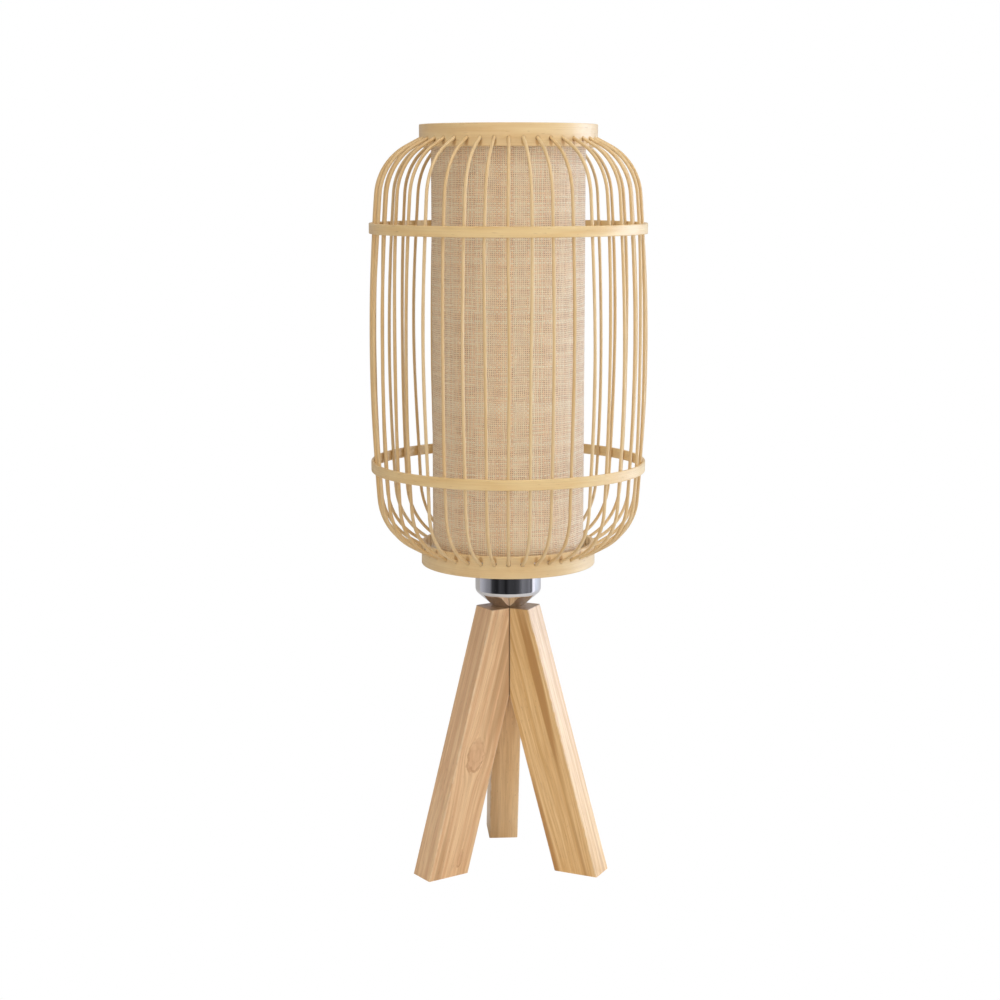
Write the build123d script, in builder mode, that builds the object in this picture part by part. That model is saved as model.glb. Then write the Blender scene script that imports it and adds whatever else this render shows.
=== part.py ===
"""Bamboo lantern table lamp on a three-legged wooden stand.

Frame: millimetres, +Z up, origin on the floor under the lamp's axis, +Y to the back.
The stand carries the chrome cup, the cup carries the lampholder, and the holder's
lock ring clamps the fitter that carries the bamboo cage and the linen shade.
"""

import os
from math import acos, asin, atan2, cos, degrees, hypot, radians, sin, sqrt, tan

from build123d import *

os.makedirs("parts", exist_ok=True)

# ---- Stand -------------------------------------------------------------------------
stand_height = 196.3
leg_width = 22.0
leg_depth = 32.8
leg_lean = 16.0  # degrees from upright
leg_top_r = 21.2  # from the axis to a leg's outer face, at the top
leg_edge_r = 1.0
leg_angles = {"leg_back": 94.3, "leg_left": 214.3, "leg_right": 334.3}
mitre_angle = 60.0  # half of the 120 degrees between two legs
mitre_bevel = 0.35  # eases the seam's outer edges
dowel_r = 2.0
dowel_length = 12.0
dowel_axis_r = 8.6
dowel_depth = 11.0  # below the stand's top
glue_gap = 0.05

# ---- Threaded tube that ties the cup to the stand -----------------------------------
tube_r = 5.0
tube_bore_r = 3.5
thread_gap = 0.05
tube_wood_gap = 0.2
clamp_depth = 26.0  # wood between the cup and the washer
washer_r = 8.5
washer_t = 1.5
nut_flats = 14.0
tube_nut_h = 4.0
cup_nut_h = 3.0
tube_end_proud = 2.0
pocket_gap = 0.6

# ---- Chrome cup ---------------------------------------------------------------------
cup_r = 24.2
cup_foot_r = 11.6
cup_cone_h = 11.0
cup_height = 38.6
cup_wall = 0.8
cup_shoulder_r = 5.0
cup_foot_edge_r = 1.2

# ---- Cord inlet in the cup's back ---------------------------------------------------
cord_hole_r = 3.3
grommet_wall = 1.2
grommet_flange = 2.0
grommet_lip = 0.9
grommet_proud = 2.2
grommet_inside = 2.0
grommet_gap = 0.05
grommet_height = 21.5  # above the cup's foot

# ---- Lampholder ---------------------------------------------------------------------
base_r = 19.0
base_lift = 6.5  # above the cup's foot
base_h = 21.0
base_edge_r = 1.0
base_chamfer = 3.2  # clears the cup's cone
tube_in_base = 7.0
wire_hole_r = 2.0
wire_hole_pitch_r = 9.0
column_wall = 1.94
column_h = 23.0
seat_wall = 4.4
skirt_wall = 3.1
skirt_room = 0.9  # between the column and the skirt
skirt_above_flange = 23.0
flange_r = 23.0
flange_t = 2.5
spigot_gap = 0.2
thread_crest = 0.7
thread_pitch = 2.5
shell_wall = 0.4
shell_h = 24.0
shell_lift = 4.5  # above the base's top
shell_gap = 0.15
contact_width = 5.0
contact_t = 0.5
contact_reach = 7.0
contact_foot = 8.5
side_contact_inset = 2.1  # from the shell's bore
terminal_r = 1.5
terminal_head_r = 2.6
terminal_head_h = 1.6
terminal_length = 9.0
terminal_pitch_r = 12.0

# ---- Lock ring ----------------------------------------------------------------------
ring_r = 26.0
ring_h = 9.0
ring_grips = 16
ring_grip_r = 1.4
ring_edge_r = 0.6
run_gap = 0.06  # between a shaft and the bore it turns in
turn_gap = 0.3  # between faces that turn on each other

# ---- Fitter -------------------------------------------------------------------------
fitter_r = 31.0
fitter_t = 1.2
arm_r = 1.25
arm_count = 3
arm_angle = 94.5
arm_start_r = 27.6
arm_socket = 1.4
weld_gap = 0.05
arm_above_rim = 11.65

# ---- Bamboo cage --------------------------------------------------------------------
cage_height = 317.0
rim_r = 63.7
rim_t = 3.0
rim_height = 16.0
hoop_r = 100.0
hoop_t = 2.0
hoop_height = 7.5
hoop_spacing = 171.2
rib_count = 40
rib_r = 1.2
rib_bow = 2.3  # how far the ribs swell between the hoops
rib_hoop_gap = 0.05
rib_hole_gap = 0.35
rib_hole_shift = 0.25  # the hole's middle lies this far inside the rib's, so the rib bears on its rim
rib_entry = -2.2  # from the rim's middle towards its free edge
rib_tip_inset = 1.1
shoulder_r = 42.0
shoulder_start = 24.0  # beyond the hoop's middle
cage_edge_r = 0.5

# ---- Linen shade --------------------------------------------------------------------
shade_gap = 5.5  # inside the rims
shade_drop = 7.95  # below the cage's top
fabric_t = 0.8
liner_t = 0.5
lining_gap = 0.05
wire_r = 1.25

# ---- Bulb ---------------------------------------------------------------------------
bulb_r = 30.0
bulb_length = 104.0
bulb_neck_over = 1.1  # beyond the cap's root
glass_t = 0.9
cap_r = 13.05  # over the thread's crests
cap_thread_h = 0.85
cap_wall = 0.4
cap_pitch = 3.629
cap_crests = 4
cap_h = 22.0
cap_taper_h = 2.0
insulator_h = 2.8
insulator_r = 9.5
insulator_low_r = 5.5
tip_r = 4.5
tip_h = 1.2
tip_edge_r = 0.8
stem_r = 2.6
stem_h = 26.0
stem_foot_h = 0.9
stem_cone_h = 9.0
filament_r = 0.9
filament_h = 32.0
filament_count = 4
filament_ring_r = 8.5
post_r = 0.5
feed_r = 0.35

# ---- Heights and radii that follow --------------------------------------------------
lean = radians(leg_lean)
cup_floor_top = stand_height + cup_wall
cup_top = stand_height + cup_height
base_low = stand_height + base_lift
base_top = base_low + base_h
flange_top = cup_top + flange_t
skirt_top = flange_top + skirt_above_flange
shell_r = cap_r + run_gap
shell_outer_r = shell_r + shell_wall
column_bore_r = shell_outer_r + shell_gap
column_r = column_bore_r + column_wall
skirt_bore_r = column_r + skirt_room
skirt_r = skirt_bore_r + skirt_wall
land_r = skirt_r + thread_crest
cap_root_r = cap_r - cap_thread_h
bulb_neck_r = cap_root_r + bulb_neck_over
side_contact_r = shell_r - side_contact_inset
fitter_low = flange_top + turn_gap
fitter_top = fitter_low + fitter_t
ring_low = fitter_top + turn_gap
arm_z = fitter_top + weld_gap + arm_r
rim_low = arm_z - arm_above_rim
cage_mid = rim_low + cage_height / 2
rim_offset = (cage_height - rim_height) / 2
shade_low = arm_z + arm_r + weld_gap
shade_top = rim_low + cage_height - shade_drop
shade_height = shade_top - shade_low
shade_r = rim_r - rim_t - shade_gap
hem_inset = fabric_t + lining_gap  # the cloth turns over the liner and the wires
shell_low = base_top + shell_lift
tip_low = base_top + contact_reach + turn_gap
insulator_low = tip_low + tip_h + turn_gap
cap_low = insulator_low + insulator_h
cap_top = cap_low + cap_h
glass_low = cap_top + weld_gap
bulb_top = tip_low + bulb_length


def save(part, name):
    """Label a finished piece and write its file."""
    part.label = name
    export_step(part, f"parts/{name}.step")


def upright(angle):
    """The upright plane through the axis: x runs outwards at the angle, y is height."""
    turn = radians(angle)
    return Plane(origin=(0, 0, 0), x_dir=(cos(turn), sin(turn), 0), z_dir=(sin(turn), -cos(turn), 0))


def level(angle, height=0):
    """A level plane whose x runs outwards at the angle."""
    turn = radians(angle)
    return Plane(origin=(0, 0, height), x_dir=(cos(turn), sin(turn), 0), z_dir=(0, 0, 1))


def facing(angle, radius, height, tilt=0.0):
    """A plane that faces outwards at the angle, tilted upwards by tilt radians."""
    turn = radians(angle)
    return Plane(
        origin=(radius * cos(turn), radius * sin(turn), height),
        z_dir=(cos(turn) * cos(tilt), sin(turn) * cos(tilt), sin(tilt)),
    )


def ring_sketch(outer_r, inner_r):
    """An annulus in the sketch that is being drawn."""
    Circle(outer_r)
    Circle(inner_r, mode=Mode.SUBTRACT)


# ---- Legs: leaning battens, mitred where they meet on the axis ----------------------
leg_depth_flat = leg_depth / cos(lean)
leg_length = stand_height / cos(lean)
floor_r = leg_top_r + stand_height * tan(lean)
half_angle = radians(mitre_angle)
seam_x = leg_width / 2 / tan(half_angle)
seam_inner = leg_width / 2 / sin(half_angle) - mitre_bevel
washer_seat = stand_height - clamp_depth
dowel_z = stand_height - dowel_depth


def seam_plane(angle):
    """Centred on a dowel, facing across the mitre seam that runs out at the angle."""
    turn = radians(angle)
    return Plane(
        origin=(dowel_axis_r * cos(turn), dowel_axis_r * sin(turn), dowel_z),
        z_dir=(-sin(turn), cos(turn), 0),
    )


for leg_name, leg_angle in leg_angles.items():
    with BuildPart() as leg:
        with BuildSketch(upright(leg_angle)):
            with BuildLine():
                Polyline(
                    (leg_top_r, stand_height),
                    (floor_r, 0),
                    (floor_r - leg_depth_flat, 0),
                    (leg_top_r - leg_depth_flat, stand_height),
                    close=True,
                )
            make_face()
        extrude(amount=leg_width / 2, both=True)
        fillet(leg.edges().filter_by(lambda edge: abs(edge.length - leg_length) < 0.1), leg_edge_r)
        with BuildSketch(level(leg_angle)):
            with BuildLine():
                Polyline(
                    (0, 0),
                    (seam_inner * cos(half_angle), seam_inner * sin(half_angle)),
                    (seam_x + mitre_bevel, leg_width / 2),
                    (floor_r, floor_r * tan(half_angle)),
                    (floor_r, 0),
                    close=True,
                )
            make_face()
            mirror(about=Plane.XZ)
        extrude(amount=stand_height, mode=Mode.INTERSECT)
        with BuildSketch(Plane.XY.offset(washer_seat)):
            Circle(tube_r + tube_wood_gap)
        extrude(amount=clamp_depth, mode=Mode.SUBTRACT)
        with BuildSketch():
            Circle(washer_r + pocket_gap)
        extrude(amount=washer_seat, mode=Mode.SUBTRACT)
        for side in (-1, 1):
            with BuildSketch(seam_plane(leg_angle + side * mitre_angle)):
                Circle(dowel_r + glue_gap)
            extrude(amount=dowel_length / 2 + glue_gap, both=True, mode=Mode.SUBTRACT)
    save(leg.part, leg_name)

with BuildPart() as mitre_dowels:
    for leg_angle in leg_angles.values():
        with BuildSketch(seam_plane(leg_angle + mitre_angle)):
            Circle(dowel_r)
        extrude(amount=dowel_length / 2, both=True)
save(mitre_dowels.part, "mitre_dowels")

# ---- Threaded tube, washer and nuts -------------------------------------------------
tube_low = washer_seat - washer_t - tube_nut_h - tube_end_proud
with BuildPart() as mount_tube:
    with BuildSketch(Plane.XY.offset(tube_low)):
        ring_sketch(tube_r, tube_bore_r)
    extrude(amount=base_low + tube_in_base - tube_low)
save(mount_tube.part, "mount_tube")

with BuildPart() as tube_washer:
    with BuildSketch(Plane.XY.offset(washer_seat - washer_t)):
        ring_sketch(washer_r, tube_r + thread_gap)
    extrude(amount=washer_t)
save(tube_washer.part, "tube_washer")

nut_places = {
    "tube_nut": (washer_seat - washer_t - tube_nut_h, tube_nut_h),
    "cup_nut": (cup_floor_top, cup_nut_h),
}
for nut_name, (nut_low, nut_h) in nut_places.items():
    with BuildPart() as nut:
        with BuildSketch(Plane.XY.offset(nut_low)):
            RegularPolygon(nut_flats / 2, 6, major_radius=False)
            Circle(tube_r + thread_gap, mode=Mode.SUBTRACT)
        extrude(amount=nut_h)
    save(nut.part, nut_name)

# ---- Chrome cup ---------------------------------------------------------------------
with BuildPart() as chrome_cup:
    with BuildSketch(Plane.XZ):
        with BuildLine():
            Polyline(
                (0, stand_height),
                (cup_foot_r, stand_height),
                (cup_r, stand_height + cup_cone_h),
                (cup_r, cup_top),
                (0, cup_top),
                close=True,
            )
        make_face()
    revolve(axis=Axis.Z)
    circles = chrome_cup.edges().filter_by(GeomType.CIRCLE).sort_by(Axis.Z)
    fillet(circles[1], cup_shoulder_r)
    fillet(chrome_cup.edges().filter_by(GeomType.CIRCLE).sort_by(Axis.Z)[0], cup_foot_edge_r)
    offset(amount=-cup_wall, openings=chrome_cup.faces().sort_by(Axis.Z)[-1])
    with BuildSketch(Plane.XY.offset(stand_height)):
        Circle(tube_r + thread_gap)
    extrude(amount=cup_wall, mode=Mode.SUBTRACT)
    with BuildSketch(facing(90, 0, stand_height + grommet_height)):
        Circle(cord_hole_r + grommet_wall + grommet_gap)
    extrude(amount=cup_r, mode=Mode.SUBTRACT)
save(chrome_cup.part, "chrome_cup")

# ---- Cord inlet: a lipped grommet that hugs the cup's wall --------------------------
inlet_z = stand_height + grommet_height
cup_bore_r = cup_r - cup_wall
with BuildPart() as cord_grommet:
    with BuildSketch(facing(90, cup_bore_r - grommet_inside, inlet_z)):
        Circle(cord_hole_r + grommet_wall + grommet_flange)
    extrude(amount=cup_wall + grommet_inside + grommet_proud)
    fillet(cord_grommet.edges().sort_by(Axis.Y)[-1], grommet_wall)
    with BuildSketch(Plane.XY.offset(inlet_z)):
        ring_sketch(cup_r + grommet_gap, cup_bore_r - grommet_gap)
    extrude(amount=cup_height / 2, both=True, mode=Mode.SUBTRACT)
    with BuildSketch(facing(90, 0, inlet_z)):
        Circle(cup_r)
        Circle(cord_hole_r + grommet_wall + grommet_lip, mode=Mode.SUBTRACT)
    extrude(amount=cup_bore_r, mode=Mode.SUBTRACT)
    with BuildSketch(facing(90, cup_bore_r - grommet_inside, inlet_z)):
        Circle(cord_hole_r + grommet_wall)
    extrude(amount=cup_wall + grommet_inside + grommet_proud)
    with BuildSketch(facing(90, 0, inlet_z)):
        Circle(cord_hole_r)
    extrude(amount=2 * cup_r, mode=Mode.SUBTRACT)
save(cord_grommet.part, "cord_grommet")

# ---- Lampholder base: a block with a column that guides the screw shell -------------
seat_bore_r = shell_outer_r - seat_wall
with BuildPart() as holder_base:
    with BuildSketch(Plane.XY.offset(base_low)):
        Circle(base_r)
    extrude(amount=base_h)
    chamfer(holder_base.edges().filter_by(GeomType.CIRCLE).sort_by(Axis.Z)[0], base_chamfer)
    fillet(holder_base.edges().filter_by(GeomType.CIRCLE).sort_by(Axis.Z)[-1], base_edge_r)
    with BuildSketch(Plane.XY.offset(base_top)):
        ring_sketch(column_r, column_bore_r)
    extrude(amount=column_h)
    with BuildSketch(Plane.XY.offset(base_top)):
        ring_sketch(column_bore_r, seat_bore_r)
    extrude(amount=shell_lift)
    with BuildSketch(Plane.XY.offset(base_top)):
        with Locations((side_contact_r, 0)):
            Rectangle(2 * contact_t + contact_width, contact_width + 2 * thread_gap)
    extrude(amount=shell_lift, mode=Mode.SUBTRACT)
    with BuildSketch(Plane.XY.offset(base_low)):
        Circle(tube_r + thread_gap)
    extrude(amount=tube_in_base, mode=Mode.SUBTRACT)
    with BuildSketch(Plane.XY.offset(base_low)):
        with PolarLocations(terminal_pitch_r, 2):
            Circle(terminal_r + thread_gap)
    extrude(amount=terminal_length, mode=Mode.SUBTRACT)
    with BuildSketch(Plane.XY.offset(base_low)):
        with PolarLocations(wire_hole_pitch_r, 2, start_angle=90):
            Circle(wire_hole_r)
    extrude(amount=base_h, mode=Mode.SUBTRACT)
save(holder_base.part, "holder_base")

# ---- Lampholder skirt: flange on the cup, land for the fitter, thread for the ring --
spigot_r = cup_bore_r - spigot_gap
column_top = base_top + column_h
with BuildPart() as holder_skirt:
    with BuildSketch(Plane.XZ):
        with BuildLine():
            Polyline(
                (column_r + thread_gap, base_top + thread_gap),
                (spigot_r, base_top + thread_gap),
                (spigot_r, cup_top + thread_gap),
                (flange_r, cup_top + thread_gap),
                (flange_r, flange_top),
                (land_r, flange_top),
                (land_r, fitter_top),
                (skirt_r, fitter_top),
                (skirt_r, skirt_top),
                (skirt_bore_r, skirt_top),
                (skirt_bore_r, column_top + thread_gap),
                (column_r + thread_gap, column_top + thread_gap),
                close=True,
            )
        make_face()
    revolve(axis=Axis.Z)
    crest_count = int((skirt_top - ring_low) / thread_pitch)
    with Locations(*[(0, 0, skirt_top - (turn + 0.6) * thread_pitch) for turn in range(crest_count)]):
        Torus(skirt_r, thread_crest)
save(holder_skirt.part, "holder_skirt")

# ---- Screw shell and contacts -------------------------------------------------------
with BuildPart() as screw_shell:
    with BuildSketch(Plane.XY.offset(shell_low)):
        ring_sketch(shell_outer_r, seat_bore_r)
    extrude(amount=shell_wall)
    with BuildSketch(Plane.XY.offset(shell_low)):
        ring_sketch(shell_outer_r, shell_r)
    extrude(amount=shell_h)
save(screw_shell.part, "screw_shell")

contact_top = base_top + contact_reach
with BuildPart() as centre_contact:
    with BuildSketch(Plane.XZ):
        with BuildLine():
            Polyline(
                (-contact_foot, base_top),
                (-contact_foot / 3, base_top),
                (contact_t, contact_top - contact_t),
                (tip_r, contact_top - contact_t),
                (tip_r, contact_top),
                (0, contact_top),
                (-contact_foot / 3 - contact_t, base_top + contact_t),
                (-contact_foot, base_top + contact_t),
                close=True,
            )
        make_face()
    extrude(amount=contact_width / 2, both=True)
save(centre_contact.part, "centre_contact")

with BuildPart() as side_contact:
    with BuildSketch(Plane.XY.offset(base_top)):
        with Locations((side_contact_r, 0)):
            Rectangle(contact_t, contact_width)
    extrude(amount=shell_lift)
save(side_contact.part, "side_contact")

with BuildPart() as terminal_screws:
    with BuildSketch(Plane.XY.offset(base_low)):
        with PolarLocations(terminal_pitch_r, 2):
            Circle(terminal_r)
    extrude(amount=terminal_length)
    with BuildSketch(Plane.XY.offset(base_low - terminal_head_h)):
        with PolarLocations(terminal_pitch_r, 2):
            Circle(terminal_head_r)
            Rectangle(2 * terminal_head_r, terminal_r / 2, mode=Mode.SUBTRACT)
    extrude(amount=terminal_head_h / 2)
    with BuildSketch(Plane.XY.offset(base_low - terminal_head_h / 2)):
        with PolarLocations(terminal_pitch_r, 2):
            Circle(terminal_head_r)
    extrude(amount=terminal_head_h / 2)
save(terminal_screws.part, "terminal_screws")

# ---- Lock ring ----------------------------------------------------------------------
with BuildPart() as lock_ring:
    with BuildSketch(Plane.XY.offset(ring_low)):
        ring_sketch(ring_r, land_r + run_gap)
    extrude(amount=ring_h)
    fillet(lock_ring.edges().group_by(Axis.Z)[-1], ring_edge_r)
    with BuildSketch(Plane.XY.offset(ring_low)):
        with PolarLocations(ring_r + ring_grip_r / 2, ring_grips):
            Circle(ring_grip_r)
    extrude(amount=ring_h, mode=Mode.SUBTRACT)
save(lock_ring.part, "lock_ring")

# ---- Fitter: plate on the skirt's land, three arms out to the bottom rim ------------
with BuildPart() as fitter_plate:
    with BuildSketch(Plane.XY.offset(fitter_low)):
        ring_sketch(fitter_r, land_r + run_gap)
    extrude(amount=fitter_t)
save(fitter_plate.part, "fitter_plate")

arm_angles = [arm_angle + turn * 360 / arm_count for turn in range(arm_count)]
rim_bore_r = rim_r - rim_t
with BuildPart() as fitter_arms:
    for angle in arm_angles:
        with BuildSketch(facing(angle, arm_start_r, arm_z)):
            Circle(arm_r)
        extrude(amount=rim_bore_r + arm_socket - arm_start_r)
save(fitter_arms.part, "fitter_arms")

# ---- Rib line: straight into each rim, round shoulders, a long bow between ----------
hoop_edge = (hoop_spacing - hoop_height) / 2
bow_r = (hoop_edge**2 + rib_bow**2) / (2 * rib_bow)
rib_mid_r = hoop_r - hoop_t - rib_hoop_gap - rib_r + rib_bow
bow_angle = asin((hoop_spacing / 2 + shoulder_start) / bow_r)
shoulder_x = rib_mid_r - bow_r + (bow_r - shoulder_r) * cos(bow_angle)
shoulder_y = (bow_r - shoulder_r) * sin(bow_angle)
entry_y = rim_offset + rib_entry
reach = hypot(rim_r - shoulder_x, entry_y - shoulder_y)
entry_angle = atan2(entry_y - shoulder_y, rim_r - shoulder_x) - acos(shoulder_r / reach)
straight = sqrt(reach**2 - shoulder_r**2)
tip_run = (rim_t - rib_tip_inset) / sin(entry_angle)
rib_step = 360 / rib_count


def rib_holes(side):
    """Places of a rim's rib holes: side is 1 for the top rim and -1 for the bottom one."""
    tilt = -side * (radians(90) - entry_angle)
    height = cage_mid + side * (entry_y - rib_hole_shift)
    return [facing(rib * rib_step, rim_r, height, tilt).location for rib in range(rib_count)]


for rim_name, side in (("bottom_rim", -1), ("top_rim", 1)):
    with BuildPart() as rim:
        with BuildSketch(Plane.XY.offset(cage_mid + side * rim_offset - rim_height / 2)):
            ring_sketch(rim_r, rim_bore_r)
        extrude(amount=rim_height)
        fillet(rim.edges().filter_by(GeomType.CIRCLE), cage_edge_r)
        with Locations(*rib_holes(side)):
            Cylinder(rib_r + rib_hole_gap, 4 * rim_t, mode=Mode.SUBTRACT)
        if side < 0:
            for angle in arm_angles:
                with BuildSketch(facing(angle, 0, arm_z)):
                    Circle(arm_r + weld_gap)
                extrude(amount=rim_bore_r + arm_socket + weld_gap, mode=Mode.SUBTRACT)
    save(rim.part, rim_name)

for hoop_name, side in (("lower_hoop", -1), ("upper_hoop", 1)):
    with BuildPart() as hoop:
        with BuildSketch(Plane.XY.offset(cage_mid + side * hoop_spacing / 2 - hoop_height / 2)):
            ring_sketch(hoop_r, hoop_r - hoop_t)
        extrude(amount=hoop_height)
        fillet(hoop.edges().filter_by(GeomType.CIRCLE), cage_edge_r)
    save(hoop.part, hoop_name)

shoulder_turn = degrees(entry_angle - bow_angle)
rib_start = (rim_r - tip_run * sin(entry_angle), cage_mid - entry_y - tip_run * cos(entry_angle))
for pair in range(rib_count // 2):
    with BuildPart() as rib_pair:
        for rib in (2 * pair, 2 * pair + 1):
            with BuildLine(upright(rib * rib_step)) as rib_line:
                low_end = PolarLine(rib_start, tip_run + straight, 90 - degrees(entry_angle))
                low_shoulder = JernArc(low_end @ 1, low_end % 1, shoulder_r, shoulder_turn)
                bow = JernArc(low_shoulder @ 1, low_shoulder % 1, bow_r, 2 * degrees(bow_angle))
                high_shoulder = JernArc(bow @ 1, bow % 1, shoulder_r, shoulder_turn)
                PolarLine(high_shoulder @ 1, tip_run + straight, 90 + degrees(entry_angle))
            with BuildSketch(Plane(origin=rib_line.line @ 0, z_dir=rib_line.line % 0)):
                Circle(rib_r)
            sweep(path=rib_line.line)
    save(rib_pair.part, f"rib_pair_{pair + 1:02d}")

# ---- Linen shade: two wire rings, a clear liner and the cloth over it ---------------
shade_parts = {"shade_fabric": shade_r, "shade_liner": shade_r - fabric_t - lining_gap}
shade_walls = {"shade_fabric": fabric_t, "shade_liner": liner_t}
shade_insets = {"shade_fabric": 0, "shade_liner": hem_inset}
for tube_name, outer_r in shade_parts.items():
    inset = shade_insets[tube_name]
    with BuildPart() as tube:
        with BuildSketch(Plane.XY.offset(shade_low + inset)):
            ring_sketch(outer_r, outer_r - shade_walls[tube_name])
        extrude(amount=shade_height - 2 * inset)
    save(tube.part, tube_name)

wire_axis_r = shade_r - fabric_t - liner_t - 2 * lining_gap - wire_r
wire_inset = hem_inset + wire_r
wire_heights = {"shade_bottom_ring": shade_low + wire_inset, "shade_top_ring": shade_top - wire_inset}
for wire_name, height in wire_heights.items():
    with BuildPart() as wire_ring:
        with Locations((0, 0, height)):
            Torus(wire_axis_r, wire_r)
    save(wire_ring.part, wire_name)

# ---- Bulb ---------------------------------------------------------------------------
with BuildPart() as bulb_tip:
    with BuildSketch(Plane.XY.offset(tip_low)):
        Circle(tip_r)
    extrude(amount=tip_h)
    fillet(bulb_tip.edges().group_by(Axis.Z)[0], tip_edge_r)
save(bulb_tip.part, "bulb_tip")

with BuildPart() as bulb_insulator:
    with BuildSketch(Plane.XY.offset(insulator_low)):
        Circle(insulator_low_r)
    with BuildSketch(Plane.XY.offset(cap_low)):
        Circle(insulator_r)
    loft()
save(bulb_insulator.part, "bulb_insulator")

with BuildPart() as bulb_cap:
    with BuildSketch(Plane.XZ):
        with BuildLine():
            Polyline(
                (insulator_r, cap_low),
                (cap_root_r, cap_low + cap_taper_h),
                (cap_root_r, cap_top),
                (cap_root_r - cap_wall, cap_top),
                (cap_root_r - cap_wall, cap_low + cap_taper_h),
                (insulator_r - cap_wall, cap_low),
                close=True,
            )
        make_face()
    revolve(axis=Axis.Z)
    crest_low = cap_low + cap_taper_h + cap_pitch / 2
    with Locations(*[(0, 0, crest_low + turn * cap_pitch) for turn in range(cap_crests)]):
        Torus(cap_root_r, cap_thread_h)
save(bulb_cap.part, "bulb_cap")

globe_z = bulb_top - bulb_r
globe_drop = globe_z - glass_low
neck_curve_r = (bulb_neck_r**2 + globe_drop**2 - bulb_r**2) / (2 * (bulb_r - bulb_neck_r))
neck_x = bulb_neck_r + neck_curve_r
join_angle = degrees(atan2(-globe_drop, neck_x))
with BuildPart() as bulb_glass:
    with BuildSketch(Plane.XZ):
        with BuildLine():
            CenterArc((0, globe_z), bulb_r, join_angle, 90 - join_angle)
            CenterArc((neck_x, glass_low), neck_curve_r, 180 + join_angle, -join_angle)
            Line((bulb_neck_r, glass_low), (bulb_neck_r - glass_t, glass_low))
            CenterArc((neck_x, glass_low), neck_curve_r + glass_t, 180 + join_angle, -join_angle)
            CenterArc((0, globe_z), bulb_r - glass_t, join_angle, 90 - join_angle)
            Line((0, bulb_top), (0, bulb_top - glass_t))
        make_face()
    revolve(axis=Axis.Z)
save(bulb_glass.part, "bulb_glass")

stem_top = glass_low + stem_h
stem_foot_r = bulb_neck_r - glass_t - weld_gap
with BuildPart() as bulb_stem:
    with BuildSketch(Plane.XZ):
        with BuildLine():
            Polyline(
                (0, glass_low),
                (stem_foot_r, glass_low),
                (stem_foot_r, glass_low + stem_foot_h),
                (stem_r, glass_low + stem_cone_h),
                (stem_r, stem_top),
                (0, stem_top),
                close=True,
            )
        make_face()
    revolve(axis=Axis.Z)
save(bulb_stem.part, "bulb_stem")

feed_low = stem_top + 2 * feed_r
feed_high = feed_low + filament_h + 2 * (feed_r + weld_gap)
with BuildPart() as filament_wires:
    with BuildSketch(Plane.XY.offset(stem_top)):
        Circle(post_r)
    extrude(amount=feed_high - stem_top)
    for height in (feed_low, feed_high):
        for turn in range(filament_count):
            with BuildSketch(facing(turn * 360 / filament_count, 0, height)):
                Circle(feed_r)
            extrude(amount=filament_ring_r)
save(filament_wires.part, "filament_wires")

with BuildPart() as filaments:
    with BuildSketch(Plane.XY.offset(feed_low + feed_r + weld_gap)):
        with PolarLocations(filament_ring_r - filament_r, filament_count):
            Circle(filament_r)
    extrude(amount=filament_h)
save(filaments.part, "filaments")
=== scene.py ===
"""Looks of the bamboo lantern table lamp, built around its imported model.

Metres, +Z up, the floor at zero, the lamp's axis through the origin and +Y to the back.
The cage's ribs and the linen shade are made here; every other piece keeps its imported
shape and gets its finish.
"""

import random
from math import acos, asin, atan2, cos, degrees, hypot, pi, radians, sin, sqrt, tan, tau

import bpy
from mathutils import Matrix, Vector, noise


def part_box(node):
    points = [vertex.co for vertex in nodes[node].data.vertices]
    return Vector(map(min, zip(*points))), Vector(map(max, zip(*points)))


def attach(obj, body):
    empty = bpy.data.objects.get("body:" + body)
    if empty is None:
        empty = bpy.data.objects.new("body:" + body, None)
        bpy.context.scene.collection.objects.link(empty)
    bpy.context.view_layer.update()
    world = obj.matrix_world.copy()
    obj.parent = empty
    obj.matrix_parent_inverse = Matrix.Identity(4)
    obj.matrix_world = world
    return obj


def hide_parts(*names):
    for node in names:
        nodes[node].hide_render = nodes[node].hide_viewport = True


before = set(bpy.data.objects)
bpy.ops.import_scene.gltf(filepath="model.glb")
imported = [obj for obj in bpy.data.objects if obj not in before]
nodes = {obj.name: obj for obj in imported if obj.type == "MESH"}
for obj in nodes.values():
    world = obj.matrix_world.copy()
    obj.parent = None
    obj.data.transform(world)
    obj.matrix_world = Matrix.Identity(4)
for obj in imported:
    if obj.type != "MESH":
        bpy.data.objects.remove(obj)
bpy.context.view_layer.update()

dice = random.Random(40)

# ---- Sizes, in metres ---------------------------------------------------------------
MM = 0.001
LAMP_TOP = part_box("top_rim")[1].z
RIM_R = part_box("top_rim")[1].x
RIM_WALL = 3.0 * MM
RIM_HEIGHT = 16.0 * MM
HOOP_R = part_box("upper_hoop")[1].x
HOOP_WALL = 2.0 * MM
HOOP_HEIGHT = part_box("upper_hoop")[1].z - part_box("upper_hoop")[0].z
HOOP_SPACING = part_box("upper_hoop")[0].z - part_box("lower_hoop")[0].z
CAGE_HEIGHT = LAMP_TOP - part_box("bottom_rim")[0].z
CAGE_MID = LAMP_TOP - CAGE_HEIGHT / 2

RIB_R = 1.2 * MM
RIB_SIDES = 12
RIB_BOW = 2.3 * MM
RIB_ENTRY = -2.2 * MM
RIB_TIP_INSET = 1.1 * MM
SHOULDER_R = 42.0 * MM
SHOULDER_START = 24.0 * MM
RIB_GAP = 0.05 * MM
RIB_SWAY = 1.2 * MM
RIB_BELLY = 1.0 * MM
RIB_SWELL = 0.1
PAIR_COUNT = 20
# Painted shadow beside each rib hole in the rims: its shift towards the cage's middle, its width and its
# length.
HOLE_SHADOW_DRIFT = 2.2 * MM
HOLE_SHADOW_WIDTH = 2.0 * MM
HOLE_SHADOW_LENGTH = 4.2 * MM

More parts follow.
